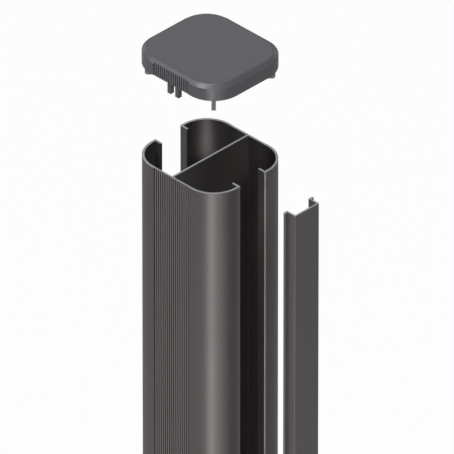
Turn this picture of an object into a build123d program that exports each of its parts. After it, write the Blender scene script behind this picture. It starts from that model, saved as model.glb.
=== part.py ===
from build123d import *
import math
import os

# A slotted fence post: one aluminium extrusion that takes boards in two opposite sides,
# a moulded cap that plugs into its top end, and a strip that closes the slot of a side
# without boards. The cap is held above its seat and the strip stands beside its slot.
# Frame: +Z runs up the post, the slots face +X and -X, the fluted sides face +Y and -Y,
# and the origin is at the foot, in the middle of the web. All sizes are in millimetres.

# Post
post_length = 1000.0
post_depth = 76.5  # across the two slotted sides, along X
post_width = 70.0  # across the two fluted sides, along Y
corner_radius = 20.5  # outside of the section
post_wall = 1.6
web_thickness = 1.4
slot_width = 22.0  # takes boards up to 21 thick
lip_depth = 6.5  # from the outer face to the edge of the lip inside
lip_thickness = 1.5
root_radius = 0.3  # where the web and the lips meet the wall
root_share = 0.9  # most of the flat wall beside a lip that its root radius may take
mouth_radius = 0.8  # outer corners of a slot
lip_edge_radius = 0.5

# Flutes, the same on the post and the cap
flute_count = 17
flute_pitch = 1.9
flute_width = 0.8
flute_depth = 0.6
crown_radius = 1.0  # round top of the bars between the flutes
crown_set_back = 0.04  # of the bars from the face beside them

# Cap
cap_skirt = 8.6  # upright part of the cap's side
bevel_run = 3.2  # slope between the side and the flat top, measured inwards
bevel_rise = 2.6  # the same slope, measured upwards
bevel_blend = 2.6  # radius between the slope and the flat top
skirt_edge_radius = 0.3  # between the side and the slope
cap_wall = 2.2
cap_lift = 70.5  # height that the cap is held above its seat

# Ribs in the cap's corners and fingers beside the web, which plug into the post
rib_thickness = 2.8
rib_depth = 6.0  # towards the middle of the corner
rib_drop = 9.2  # below the seat
rib_clearance = 0.4  # to the inside of the post's corner
rib_lead = 1.2  # slope at the rib's lower outer corner
finger_size = 3.0
finger_drop = 9.3  # below the seat
finger_clearance = 0.25  # to the inside of the fluted wall
finger_web_gap = 1.25  # to the side of the web
finger_lead = 0.4  # slope round a finger's lower end

# Cover strip
strip_face = 1.2
strip_leg = 1.1
strip_clearance = 0.3  # on each side, in the slot
hook_thickness = 1.6
hook_reach = 2.0  # past the side of the slot, behind the lip
hook_clearance = 0.3  # between the hook and the lip's edge
hook_tip_radius = 0.5
strip_edge_radius = 0.4  # outer edges of the face
strip_root_radius = 0.5  # inner corners between the face and the legs
strip_shift = 48.5  # distance that the strip stands out from its slot

# Corners are picked by their place in a section, to within this much
pick_tolerance = 0.01


def near(value, target):
    """True if two coordinates are the same place, on either side of the middle."""
    return abs(abs(value) - target) < pick_tolerance


def post_outline(inset):
    """Outline of the post, moved inwards by inset."""
    return RectangleRounded(post_depth - 2 * inset, post_width - 2 * inset, corner_radius - inset)


def flute_section():
    """Upright grooves with round-topped bars between them, on both fluted sides."""
    band_middle = post_width / 2 - flute_depth / 2
    band_width = (flute_count - 1) * flute_pitch + flute_width
    crown_middle = post_width / 2 - crown_set_back - crown_radius
    bar = Pos(0, band_middle) * Rectangle(flute_pitch - flute_width, flute_depth)
    bar &= Pos(0, crown_middle) * Circle(crown_radius)
    grooves = Pos(0, band_middle) * Rectangle(band_width, flute_depth)
    grooves -= GridLocations(flute_pitch, 0, flute_count - 1, 1) * bar
    return grooves + Rot(0, 0, 180) * grooves


def make_post():
    """Two open chambers either side of a web, with a lipped slot into each."""
    slot_side = slot_width / 2
    lip_back = slot_side + lip_thickness
    lip_edge = post_depth / 2 - lip_depth
    lip_middle = post_depth / 2 - lip_depth / 2
    mouths = GridLocations(2 * lip_middle, 0, 2, 1) * Rectangle(lip_depth, slot_width)
    lips = GridLocations(2 * lip_middle, 2 * slot_side + lip_thickness, 2, 2)
    lip_blades = Sketch() + lips * Rectangle(lip_depth, lip_thickness)

    section = post_outline(0) - post_outline(post_wall)
    section += Rectangle(web_thickness, post_width - post_wall)
    section -= mouths
    section += lip_blades & post_outline(0)

    web_roots = section.vertices().filter_by(lambda v: near(v.X, web_thickness / 2))
    section = fillet(web_roots, root_radius)
    flat_wall = abs(post_width / 2 - corner_radius - lip_back)
    lip_roots = section.vertices().filter_by(lambda v: near(v.Y, lip_back) and not near(v.X, lip_edge))
    section = fillet(lip_roots, min(root_radius, root_share * flat_wall))
    mouth_corners = section.vertices().filter_by(
        lambda v: near(v.Y, slot_side) and near(v.X, post_depth / 2)
    )
    section = fillet(mouth_corners, mouth_radius)
    lip_ends = section.vertices().filter_by(lambda v: near(v.X, lip_edge))
    section = fillet(lip_ends, lip_edge_radius)
    section -= flute_section()
    return extrude(section, amount=post_length)


def corner_rib(inside_height):
    """One upright rib with its outer edge on the Z axis, reaching towards -X."""
    rib = Box(
        rib_depth,
        rib_thickness,
        rib_drop + inside_height,
        align=(Align.MAX, Align.CENTER, Align.MIN),
    )
    lower_outer_edge = rib.edges().filter_by(Axis.Y).group_by(Axis.Z)[0].sort_by(Axis.X)[-1]
    return Pos(0, 0, -rib_drop) * chamfer(lower_outer_edge, rib_lead)


def finger(inside_height):
    """One square finger round the Z axis, with a sloped lower end."""
    stem = Box(
        finger_size,
        finger_size,
        finger_drop + inside_height,
        align=(Align.CENTER, Align.CENTER, Align.MIN),
    )
    lower_edges = stem.edges().group_by(Axis.Z)[0]
    return Pos(0, 0, -finger_drop) * chamfer(lower_edges, finger_lead)


def make_cap():
    """Shell with its seat at z = 0, flush with the post, lifted when it is finished."""
    cap_height = cap_skirt + bevel_rise
    cap = extrude(post_outline(0), amount=cap_height)
    top_face = cap.faces().sort_by(Axis.Z)[-1]
    cap = chamfer(top_face.edges(), length=bevel_run, length2=bevel_rise, reference=top_face)
    top_face = cap.faces().sort_by(Axis.Z)[-1]
    cap = fillet(top_face.edges(), bevel_blend)
    skirt_edges = cap.edges().filter_by(
        lambda e: near(e.bounding_box().min.Z, cap_skirt) and near(e.bounding_box().max.Z, cap_skirt)
    )
    cap = fillet(skirt_edges, skirt_edge_radius)
    seat_face = cap.faces().sort_by(Axis.Z)[0]
    cap = offset(cap, amount=-cap_wall, openings=seat_face)

    # The ribs and fingers run up the inside and end half way through the top
    inside_height = cap_height - cap_wall / 2
    rib_radius = corner_radius - post_wall - rib_clearance
    corners = GridLocations(post_depth - 2 * corner_radius, post_width - 2 * corner_radius, 2, 2)
    for corner in corners:
        place = corner.position
        turn = math.degrees(math.atan2(math.copysign(1, place.Y), math.copysign(1, place.X)))
        cap += corner * Rot(0, 0, turn) * Pos(rib_radius, 0, 0) * corner_rib(inside_height)

    finger_x = web_thickness / 2 + finger_web_gap + finger_size / 2
    finger_y = post_width / 2 - post_wall - finger_clearance - finger_size / 2
    cap += GridLocations(2 * finger_x, 2 * finger_y, 2, 2) * finger(inside_height)
    cap -= extrude(flute_section(), amount=cap_height)
    return Pos(0, 0, post_length + cap_lift) * cap


def make_cover_strip():
    """Channel as wide as the slot allows, with outward hooks that lie behind the lips."""
    face_width = slot_width - 2 * strip_clearance
    strip_depth = lip_depth + hook_clearance + hook_thickness
    hook_tip = slot_width / 2 + hook_reach
    leg_inside = face_width / 2 - strip_leg
    hook_length = hook_tip - leg_inside

    section = Pos(-strip_face / 2, 0) * Rectangle(strip_face, face_width)
    for side in (-1, 1):
        leg_middle = side * (face_width / 2 - strip_leg / 2)
        hook_middle = side * (hook_tip - hook_length / 2)
        section += Pos(-strip_depth / 2, leg_middle) * Rectangle(strip_depth, strip_leg)
        section += Pos(hook_thickness / 2 - strip_depth, hook_middle) * Rectangle(hook_thickness, hook_length)

    hook_tips = section.vertices().filter_by(lambda v: near(v.Y, hook_tip))
    section = fillet(hook_tips, hook_tip_radius)
    face_edges = section.vertices().filter_by(lambda v: near(v.Y, face_width / 2) and near(v.X, 0))
    section = fillet(face_edges, strip_edge_radius)
    leg_roots = section.vertices().filter_by(lambda v: near(v.Y, leg_inside) and near(v.X, strip_face))
    section = fillet(leg_roots, strip_root_radius)
    return Pos(post_depth / 2 + strip_shift, 0, 0) * extrude(section, amount=post_length)


pieces = {"post": make_post(), "cap": make_cap(), "cover_strip": make_cover_strip()}
os.makedirs("parts", exist_ok=True)
for name, piece in pieces.items():
    export_step(piece, f"parts/{name}.step")
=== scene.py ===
import math

import bpy
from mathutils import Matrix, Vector


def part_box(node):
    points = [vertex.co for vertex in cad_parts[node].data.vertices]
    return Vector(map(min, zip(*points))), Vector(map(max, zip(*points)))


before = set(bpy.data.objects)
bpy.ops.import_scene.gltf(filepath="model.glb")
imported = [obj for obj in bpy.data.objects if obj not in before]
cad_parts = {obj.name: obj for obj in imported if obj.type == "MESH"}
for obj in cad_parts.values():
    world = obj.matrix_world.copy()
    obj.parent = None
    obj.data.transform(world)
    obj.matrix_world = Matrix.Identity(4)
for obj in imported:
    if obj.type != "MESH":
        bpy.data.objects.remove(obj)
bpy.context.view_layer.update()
bpy.ops.object.select_all(action="DESELECT")


# The post is one aluminium extrusion with a polyester powder coat, dark grey and satin.
# It was sprayed and baked as a long bar and then sawn, so both ends show bare metal.
# Coordinates on it are in millimetres, and every grain below is a size in millimetres.

METRES_TO_MM = 1000

post_low, post_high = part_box("post")
SLOTTED_SIDE = post_high.x * METRES_TO_MM
FLUTED_SIDE = post_high.y * METRES_TO_MM

SLOT_HALF_WIDTH = 11
SLOT_CORNER = 0.85  # radius of a slot's outer corners, and a little over
FLUTED_HALF_WIDTH = 15.7
FLUTE_FLOOR = 0.6  # below the face
BAR_EDGE = 0.2  # below the face, where a bar's round top ends
MASK_EDGE = 0.1  # over which one colour gives way to the next

CLOUD_WIDTH = 45
PEEL_WIDTH = 1.6  # the real one is under a millimetre and wouldn't show
SAW_PITCH = 0.9
WAVE_FACTOR = 10  # by which the wave texture multiplies a place along its diagonal
ONE_MM_BANDS = 2 * math.pi / WAVE_FACTOR / math.sqrt(2)  # scale of bands 1 mm apart on a level face

# Painted highlight on the round tops of the bars and painted shade in the flutes
COAT_PAINTED_HIGHLIGHT_ON_BARS = "#858080"
COAT_PAINTED_SHADE_IN_FLUTES = "#232222"
# Painted highlight along the slots' outer corners
COAT_PAINTED_HIGHLIGHT_ON_SLOT_CORNERS = "#9f9a9a"
SAWN_METAL = "#b4b6b8", "#dedfe0"
COAT_ROUGHNESS = 0.4, 0.46
SAWN_ROUGHNESS = 0.35
COAT_METALLIC = 0.5  # the metal flake in the coat
SAWN_METALLIC = 0.9
COAT_IOR = 1.5

# In metres, as Blender takes them
SAWN_DEPTH = 0.00003  # as far as an end face may lie from the post's end
PEEL_DEPTH = 0.00005

# The sockets of a mix node have the same few names, so they are taken by their place
FACTOR = 0
VALUE_A, VALUE_B, VALUE_OUT = 2, 3, 0
COLOUR_A, COLOUR_B, COLOUR_OUT = 6, 7, 2

# A noise texture stays mostly between these two, so they are spread over a material's range
NOISE_RANGE = 0.3, 0.7


def linear(hex_colour):
    """sRGB hex to the linear colour that a shader takes."""
    channels = [int(hex_colour[i : i + 2], 16) / 255 for i in (1, 3, 5)]
    return [c / 12.92 if c <= 0.04045 else ((c + 0.055) / 1.055) ** 2.4 for c in channels] + [1]


def add_node(owner, kind, settings=(), links=()):
    """Adds a node. Settings are attributes or inputs with a value, and links are inputs with a source."""
    node = owner.node_tree.nodes.new(kind)
    for name, value in dict(settings).items():
        if hasattr(node, str(name)):
            setattr(node, name, value)
        else:
            node.inputs[name].default_value = value
    for name, source in dict(links).items():
        owner.node_tree.links.new(source, node.inputs[name])
    return node


def distance_out(material, in_mm, axis):
    """Distance from the middle of the post along X or Y, in millimetres."""
    place = add_node(material, "ShaderNodeSeparateXYZ", {}, {"Vector": in_mm})
    out = add_node(material, "ShaderNodeMath", {"operation": "ABSOLUTE"}, {0: place.outputs[axis]})
    return out.outputs[0]


def fluted_colour_with_painted_light(material, in_mm, body, bar_highlight, flute_shade):
    """A piece's colour, with a painted highlight on the tops of the bars and painted shade in the flutes.
    """
    outward = distance_out(material, in_mm, "Y")
    in_band = add_node(
        material,
        "ShaderNodeMath",
        {"operation": "LESS_THAN", 1: FLUTED_HALF_WIDTH},
        {0: distance_out(material, in_mm, "X")},
    )
    above_floor = add_node(
        material,
        "ShaderNodeMapRange",
        {
            "From Min": FLUTED_SIDE - FLUTE_FLOOR - 2 * MASK_EDGE,
            "From Max": FLUTED_SIDE - FLUTE_FLOOR - MASK_EDGE,
        },
        {"Value": outward},
    )
    above_edge = add_node(
        material,
        "ShaderNodeMapRange",
        {"From Min": FLUTED_SIDE - BAR_EDGE - MASK_EDGE, "From Max": FLUTED_SIDE - BAR_EDGE},
        {"Value": outward},
    )
    tops = add_node(
        material,
        "ShaderNodeMath",
        {"operation": "MULTIPLY"},
        {0: in_band.outputs[0], 1: above_edge.outputs["Result"]},
    )
    band = add_node(
        material,
        "ShaderNodeMath",
        {"operation": "MULTIPLY"},
        {0: in_band.outputs[0], 1: above_floor.outputs["Result"]},
    )
    floors = add_node(
        material, "ShaderNodeMath", {"operation": "SUBTRACT"}, {0: band.outputs[0], 1: tops.outputs[0]}
    )
    barred = add_node(
        material,
        "ShaderNodeMix",
        {"data_type": "RGBA", COLOUR_B: linear(bar_highlight)},
        {FACTOR: tops.outputs[0], COLOUR_A: body},
    )
    return add_node(
        material,
        "ShaderNodeMix",
        {"data_type": "RGBA", COLOUR_B: linear(flute_shade)},
        {FACTOR: floors.outputs[0], COLOUR_A: barred.outputs[COLOUR_OUT]},
    ).outputs[COLOUR_OUT]


def slot_corner_highlight_mask(material, in_mm):
    """A mask for the rounded outer corners of the slots, where a highlight is painted."""
    at_face = add_node(
        material,
        "ShaderNodeMath",
        {"operation": "COMPARE", 1: SLOTTED_SIDE - SLOT_CORNER / 2, 2: SLOT_CORNER / 2},
        {0: distance_out(material, in_mm, "X")},
    )
    beside_slot = add_node(
        material,
        "ShaderNodeMath",
        {"operation": "COMPARE", 1: SLOT_HALF_WIDTH + SLOT_CORNER / 2, 2: SLOT_CORNER / 2},
        {0: distance_out(material, in_mm, "Y")},
    )
    return add_node(
        material,
        "ShaderNodeMath",
        {"operation": "MULTIPLY"},
        {0: at_face.outputs[0], 1: beside_slot.outputs[0]},
    ).outputs[0]


def powder_coat(name, body, light_patch, sawn_at):
    """Satin powder coat with metal flake: faint clouding, a fine orange peel, bare metal where sawn."""
    coat = bpy.data.materials.new(name)
    coat.use_nodes = True
    coat.node_tree.nodes.clear()
    place = add_node(coat, "ShaderNodeTexCoord")
    to_mm = add_node(
        coat, "ShaderNodeMapping", {"Scale": [METRES_TO_MM] * 3}, {"Vector": place.outputs["Object"]}
    )
    in_mm = to_mm.outputs["Vector"]

    # Clouding as wide as a hand, where the film is thicker or thinner
    cloud = add_node(
        coat,
        "ShaderNodeTexNoise",
        {"Scale": 1 / CLOUD_WIDTH, "Detail": 3.0, "Roughness": 0.55},
        {"Vector": in_mm},
    )
    clouded = add_node(
        coat,
        "ShaderNodeMix",
        {"data_type": "RGBA", COLOUR_A: linear(body), COLOUR_B: linear(light_patch)},
        {FACTOR: cloud.outputs["Fac"]},
    )
    coat_rough = add_node(
        coat,
        "ShaderNodeMapRange",
        {
            "From Min": NOISE_RANGE[0],
            "From Max": NOISE_RANGE[1],
            "To Min": COAT_ROUGHNESS[0],
            "To Max": COAT_ROUGHNESS[1],
        },
        {"Value": cloud.outputs["Fac"]},
    )

    # Painted highlight on a slot's sharp outer corners and on the round tops of the bars, and painted
    # shade in the flutes, where the grooves hold shade. A flute is hardly wider than a pixel of the
    # render, which blurs it, so the difference is drawn stronger than it is
    fluted = fluted_colour_with_painted_light(coat, in_mm, clouded.outputs[COLOUR_OUT], COAT_PAINTED_HIGHLIGHT_ON_BARS, COAT_PAINTED_SHADE_IN_FLUTES)
    coat_colour = add_node(
        coat,
        "ShaderNodeMix",
        {"data_type": "RGBA", COLOUR_B: linear(COAT_PAINTED_HIGHLIGHT_ON_SLOT_CORNERS)},
        {FACTOR: slot_corner_highlight_mask(coat, in_mm), COLOUR_A: fluted},
    )

    # Orange peel in the coat, and the blade's marks on the bare metal of the sawn ends
    peel = add_node(
        coat,
        "ShaderNodeTexNoise",
        {"Scale": 1 / PEEL_WIDTH, "Detail": 2.0, "Roughness": 0.5},
        {"Vector": in_mm},
    )
    saw_marks = add_node(
        coat,
        "ShaderNodeTexWave",
        {
            "Scale": ONE_MM_BANDS / SAW_PITCH,
            "Distortion": 1.5,
            "Detail": 2.0,
            "bands_direction": "DIAGONAL",
        },
        {"Vector": in_mm},
    )
    metal_tint = add_node(
        coat,
        "ShaderNodeMix",
        {"data_type": "RGBA", COLOUR_A: linear(SAWN_METAL[0]), COLOUR_B: linear(SAWN_METAL[1])},
        {FACTOR: saw_marks.outputs["Fac"]},
    )

    # Both ends are as far from the middle of the bar as its length allows
    height = add_node(coat, "ShaderNodeSeparateXYZ", {}, {"Vector": place.outputs["Object"]})
    from_middle = add_node(
        coat, "ShaderNodeMath", {"operation": "SUBTRACT", 1: sawn_at / 2}, {0: height.outputs["Z"]}
    )
    reach = add_node(coat, "ShaderNodeMath", {"operation": "ABSOLUTE"}, {0: from_middle.outputs[0]})
    sawn = add_node(
        coat,
        "ShaderNodeMath",
        {"operation": "GREATER_THAN", 1: sawn_at / 2 - SAWN_DEPTH},
        {0: reach.outputs[0]},
    )
    colour = add_node(
        coat,
        "ShaderNodeMix",
        {"data_type": "RGBA"},
        {
            FACTOR: sawn.outputs[0],
            COLOUR_A: coat_colour.outputs[COLOUR_OUT],
            COLOUR_B: metal_tint.outputs[COLOUR_OUT],
        },
    )
    rough = add_node(
        coat,
        "ShaderNodeMix",
        {"data_type": "FLOAT", VALUE_B: SAWN_ROUGHNESS},
        {FACTOR: sawn.outputs[0], VALUE_A: coat_rough.outputs["Result"]},
    )
    metal = add_node(
        coat,
        "ShaderNodeMix",
        {"data_type": "FLOAT", VALUE_A: COAT_METALLIC, VALUE_B: SAWN_METALLIC},
        {FACTOR: sawn.outputs[0]},
    )
    relief = add_node(
        coat,
        "ShaderNodeMix",
        {"data_type": "FLOAT"},
        {FACTOR: sawn.outputs[0], VALUE_A: peel.outputs["Fac"], VALUE_B: saw_marks.outputs["Fac"]},
    )
    bump = add_node(
        coat,
        "ShaderNodeBump",
        {"Strength": 0.5, "Distance": PEEL_DEPTH},
        {"Height": relief.outputs[VALUE_OUT]},
    )
    shader = add_node(
        coat,
        "ShaderNodeBsdfPrincipled",
        {"IOR": COAT_IOR},
        {
            "Base Color": colour.outputs[COLOUR_OUT],
            "Metallic": metal.outputs[VALUE_OUT],
            "Roughness": rough.outputs[VALUE_OUT],
            "Normal": bump.outputs["Normal"],
        },
    )
    add_node(coat, "ShaderNodeOutputMaterial", {}, {"Surface": shader.outputs["BSDF"]})
    return coat


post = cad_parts["post"]
post.data.materials.clear()
post.data.materials.append(powder_coat("powder_coated_aluminium", "#676161", "#6d6767", post_high.z))


# The cover strip is a thin extruded channel that snaps behind the lips of a slot.
# It is coated in the same colour as the post and sawn to the same length.

strip_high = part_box("cover_strip")[1]
cover_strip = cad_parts["cover_strip"]
cover_strip.data.materials.clear()
cover_strip.data.materials.append(powder_coat("powder_coated_strip", "#6b6767", "#716d6d", strip_high.z))


# The cap is one moulding in a weatherproof plastic, with the fine even grain of a
# spark-eroded mould on its outside, and it pushes into the top of the post.

BLOOM_WIDTH = 28
GRAIN_WIDTH = 0.8  # the real one is finer and wouldn't show
GRAIN_DEPTH = 0.00004  # in metres

PLASTIC = "#5d5c60", "#636267"
# Painted highlight on the cap's bar tops and painted shade in its flutes
PLASTIC_PAINTED_HIGHLIGHT_ON_BARS = "#716f74"
PLASTIC_PAINTED_SHADE_IN_FLUTES = "#313033"
PLASTIC_ROUGHNESS = 0.33, 0.39
PLASTIC_IOR = 1.49


def moulded_plastic(name):
    """Through-coloured plastic with a fine grain and a faint bloom."""
    plastic = bpy.data.materials.new(name)
    plastic.use_nodes = True
    plastic.node_tree.nodes.clear()
    place = add_node(plastic, "ShaderNodeTexCoord")
    to_mm = add_node(
        plastic, "ShaderNodeMapping", {"Scale": [METRES_TO_MM] * 3}, {"Vector": place.outputs["Object"]}
    )
    in_mm = to_mm.outputs["Vector"]
    bloom = add_node(
        plastic,
        "ShaderNodeTexNoise",
        {"Scale": 1 / BLOOM_WIDTH, "Detail": 3.0, "Roughness": 0.5},
        {"Vector": in_mm},
    )
    bloomed = add_node(
        plastic,
        "ShaderNodeMix",
        {"data_type": "RGBA", COLOUR_A: linear(PLASTIC[0]), COLOUR_B: linear(PLASTIC[1])},
        {FACTOR: bloom.outputs["Fac"]},
    )

    # Painted highlight on the bars and painted shade in the flutes, as on the post
    colour = fluted_colour_with_painted_light(
        plastic, in_mm, bloomed.outputs[COLOUR_OUT], PLASTIC_PAINTED_HIGHLIGHT_ON_BARS, PLASTIC_PAINTED_SHADE_IN_FLUTES
    )

    grain = add_node(
        plastic,
        "ShaderNodeTexNoise",
        {"Scale": 1 / GRAIN_WIDTH, "Detail": 2.0, "Roughness": 0.6},
        {"Vector": in_mm},
    )
    rough = add_node(
        plastic,
        "ShaderNodeMapRange",
        {
            "From Min": NOISE_RANGE[0],
            "From Max": NOISE_RANGE[1],
            "To Min": PLASTIC_ROUGHNESS[0],
            "To Max": PLASTIC_ROUGHNESS[1],
        },
        {"Value": grain.outputs["Fac"]},
    )
    bump = add_node(
        plastic,
        "ShaderNodeBump",
        {"Strength": 0.5, "Distance": GRAIN_DEPTH},
        {"Height": grain.outputs["Fac"]},
    )
    shader = add_node(
        plastic,
        "ShaderNodeBsdfPrincipled",
        {"IOR": PLASTIC_IOR},
        {
            "Base Color": colour,
            "Roughness": rough.outputs["Result"],
            "Normal": bump.outputs["Normal"],
        },
    )
    add_node(plastic, "ShaderNodeOutputMaterial", {}, {"Surface": shader.outputs["BSDF"]})
    return plastic


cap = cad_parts["cap"]
cap.data.materials.clear()
cap.data.materials.append(moulded_plastic("grained_asa_plastic"))


# The floor is a plain white sheet at the post's foot, as on a product picture. Most of what
# the camera sees of it is plain white and the rest is lit, so that it keeps the shadow.

FLOOR_SIZE = 14
FLOOR_GAP = 0.0002  # keeps the floor clear of the sawn ends that stand on it
PLAIN_WHITE_SHARE = 0.97
MIRRORED_SHARE = 0.1  # of the white background, in what the metal and the plastic mirror


def white_share(owner, seen_share):
    """How much plain white a ray meets: nearly all for the camera, a little for a mirrored ray."""
    ray = add_node(owner, "ShaderNodeLightPath")
    mirrored = add_node(
        owner,
        "ShaderNodeMath",
        {"operation": "MULTIPLY", 1: MIRRORED_SHARE},
        {0: ray.outputs["Is Glossy Ray"]},
    )
    direct = add_node(
        owner,
        "ShaderNodeMath",
        {"operation": "ADD"},
        {0: ray.outputs["Is Camera Ray"], 1: ray.outputs["Is Transmission Ray"]},
    )
    return add_node(
        owner,
        "ShaderNodeMath",
        {"operation": "MULTIPLY_ADD", 1: seen_share},
        {0: direct.outputs[0], 2: mirrored.outputs[0]},
    ).outputs[0]


bpy.ops.mesh.primitive_plane_add(size=FLOOR_SIZE, location=(0, 0, post_low.z - FLOOR_GAP))
floor = bpy.context.object
floor.name = "floor"
paper = bpy.data.materials.new("white_studio_floor")
paper.use_nodes = True
paper.node_tree.nodes.clear()
matt = add_node(paper, "ShaderNodeBsdfDiffuse", {"Color": linear("#f2f2f2")})
white = add_node(paper, "ShaderNodeEmission", {"Color": linear("#ffffff"), "Strength": 1.0})
surface = add_node(
    paper,
    "ShaderNodeMixShader",
    {},
    {0: white_share(paper, PLAIN_WHITE_SHARE), 1: matt.outputs["BSDF"], 2: white.outputs["Emission"]},
)
add_node(paper, "ShaderNodeOutputMaterial", {}, {"Surface": surface.outputs["Shader"]})
floor.data.materials.append(paper)


# Camera. The picture is a parallel view, so the lens is very long. Sizes on the picture
# are in its own pixels, and the rim is the middle of the post's upper end.

PICTURE_WIDTH_PX = 454
RIM_PX = Vector((210.13, 155.88))
MM_PER_PX = 0.634
AZIMUTH = math.radians(45)
ELEVATION = math.radians(34)
LENS_MM = 1600
SENSOR_MM = 36
CLIP_END = 100  # in metres, well past the floor

to_camera = Vector(
    (
        math.sin(AZIMUTH) * math.cos(ELEVATION),
        -math.cos(AZIMUTH) * math.cos(ELEVATION),
        math.sin(ELEVATION),
    )
)
view_right = Vector((math.cos(AZIMUTH), math.sin(AZIMUTH), 0))
view_up = to_camera.cross(view_right)
metres_per_px = MM_PER_PX / METRES_TO_MM
rim = Vector((0, 0, post_high.z))
off_centre = Vector((PICTURE_WIDTH_PX / 2, PICTURE_WIDTH_PX / 2)) - RIM_PX
aim = rim + (view_right * off_centre.x - view_up * off_centre.y) * metres_per_px

bpy.ops.object.camera_add()
camera = bpy.context.object
camera.name = "camera"
camera.data.lens = LENS_MM
camera.data.sensor_width = SENSOR_MM
camera.data.clip_end = CLIP_END
camera_distance = PICTURE_WIDTH_PX * metres_per_px * LENS_MM / SENSOR_MM
camera.location = aim + to_camera * camera_distance
camera.rotation_euler = to_camera.to_track_quat("Z", "Y").to_euler()
bpy.context.scene.camera = camera


# Light: four soft lamps above, strongest on the left, and three weak ones behind, the middle
# one where the sawn ends mirror it. A low lamp in front of the near corner draws the bright
# line along it, and a weaker one rounds that off.

LAMP_DISTANCE = 2.6
LOW_LAMP_DISTANCE = 1.3
ROOM_STRENGTH = 0.03


def soft_lamp(name, azimuth, elevation, watts, size, distance=LAMP_DISTANCE, looks_at=rim, spread=180):
    """A soft rectangular lamp that looks at the post's upper end, or at another place on it."""
    across = math.cos(math.radians(elevation))
    direction = Vector(
        (
            math.sin(math.radians(azimuth)) * across,
            -math.cos(math.radians(azimuth)) * across,
            math.sin(math.radians(elevation)),
        )
    )
    bpy.ops.object.light_add(type="AREA", location=looks_at + direction * distance)
    lamp = bpy.context.object
    lamp.name = name
    lamp.data.shape = "RECTANGLE"
    lamp.data.size, lamp.data.size_y = size
    lamp.data.spread = math.radians(spread)
    lamp.data.energy = watts
    lamp.rotation_euler = direction.to_track_quat("Z", "Y").to_euler()
    lamp.visible_camera = False  # so that it stays out of a view from another side


soft_lamp("key_lamp", azimuth=-15, elevation=60, watts=27.5, size=(0.8, 0.8))
soft_lamp("top_lamp", azimuth=0, elevation=80, watts=15, size=(0.8, 0.8))
soft_lamp("left_lamp", azimuth=-50, elevation=42, watts=6, size=(0.8, 0.8))
soft_lamp("right_lamp", azimuth=75, elevation=42, watts=15.5, size=(0.8, 0.8))
soft_lamp("left_back_lamp", azimuth=265, elevation=8, watts=4, size=(1.2, 1.2))
soft_lamp("back_lamp", azimuth=225, elevation=36, watts=1.8, size=(1.0, 1.0))
soft_lamp("right_back_lamp", azimuth=185, elevation=8, watts=4, size=(1.2, 1.2))
soft_lamp(
    "corner_lamp", azimuth=37, elevation=-34, watts=3.5, size=(0.36, 0.5), distance=LOW_LAMP_DISTANCE
)
soft_lamp(
    "low_right_lamp", azimuth=65, elevation=-34, watts=0.9, size=(0.36, 0.5), distance=LOW_LAMP_DISTANCE
)

# The far corner is in the cap's shadow inside, so a lamp of 6 by 30 mm in the chamber lights
# it. It looks at the middle of the corner's rounding, a little below the post's end
CORNER_RADIUS = 20.5
POST_WALL = 1.6
BELOW_RIM = 10
corner_reach = CORNER_RADIUS - (CORNER_RADIUS - POST_WALL) * math.cos(math.radians(45))
far_corner = Vector((post_low.x, post_high.y, post_high.z)) + (
    Vector((corner_reach, -corner_reach, -BELOW_RIM)) / METRES_TO_MM
)
soft_lamp(
    "chamber_lamp",
    azimuth=45,
    elevation=-34,
    watts=0.00018,
    size=(0.006, 0.03),
    distance=0.03,
    looks_at=far_corner,
    spread=50,
)

world = bpy.data.worlds.new("pale_room")
bpy.context.scene.world = world
world.use_nodes = True
world.node_tree.nodes.clear()
room = add_node(world, "ShaderNodeBackground", {"Color": linear("#ffffff"), "Strength": ROOM_STRENGTH})
backdrop = add_node(world, "ShaderNodeBackground", {"Color": linear("#ffffff"), "Strength": 1.0})
background = add_node(
    world,
    "ShaderNodeMixShader",
    {},
    {0: white_share(world, 1.0), 1: room.outputs["Background"], 2: backdrop.outputs["Background"]},
)
add_node(world, "ShaderNodeOutputWorld", {}, {"Surface": background.outputs["Shader"]})

bpy.context.scene.view_settings.view_transform = "Standard"
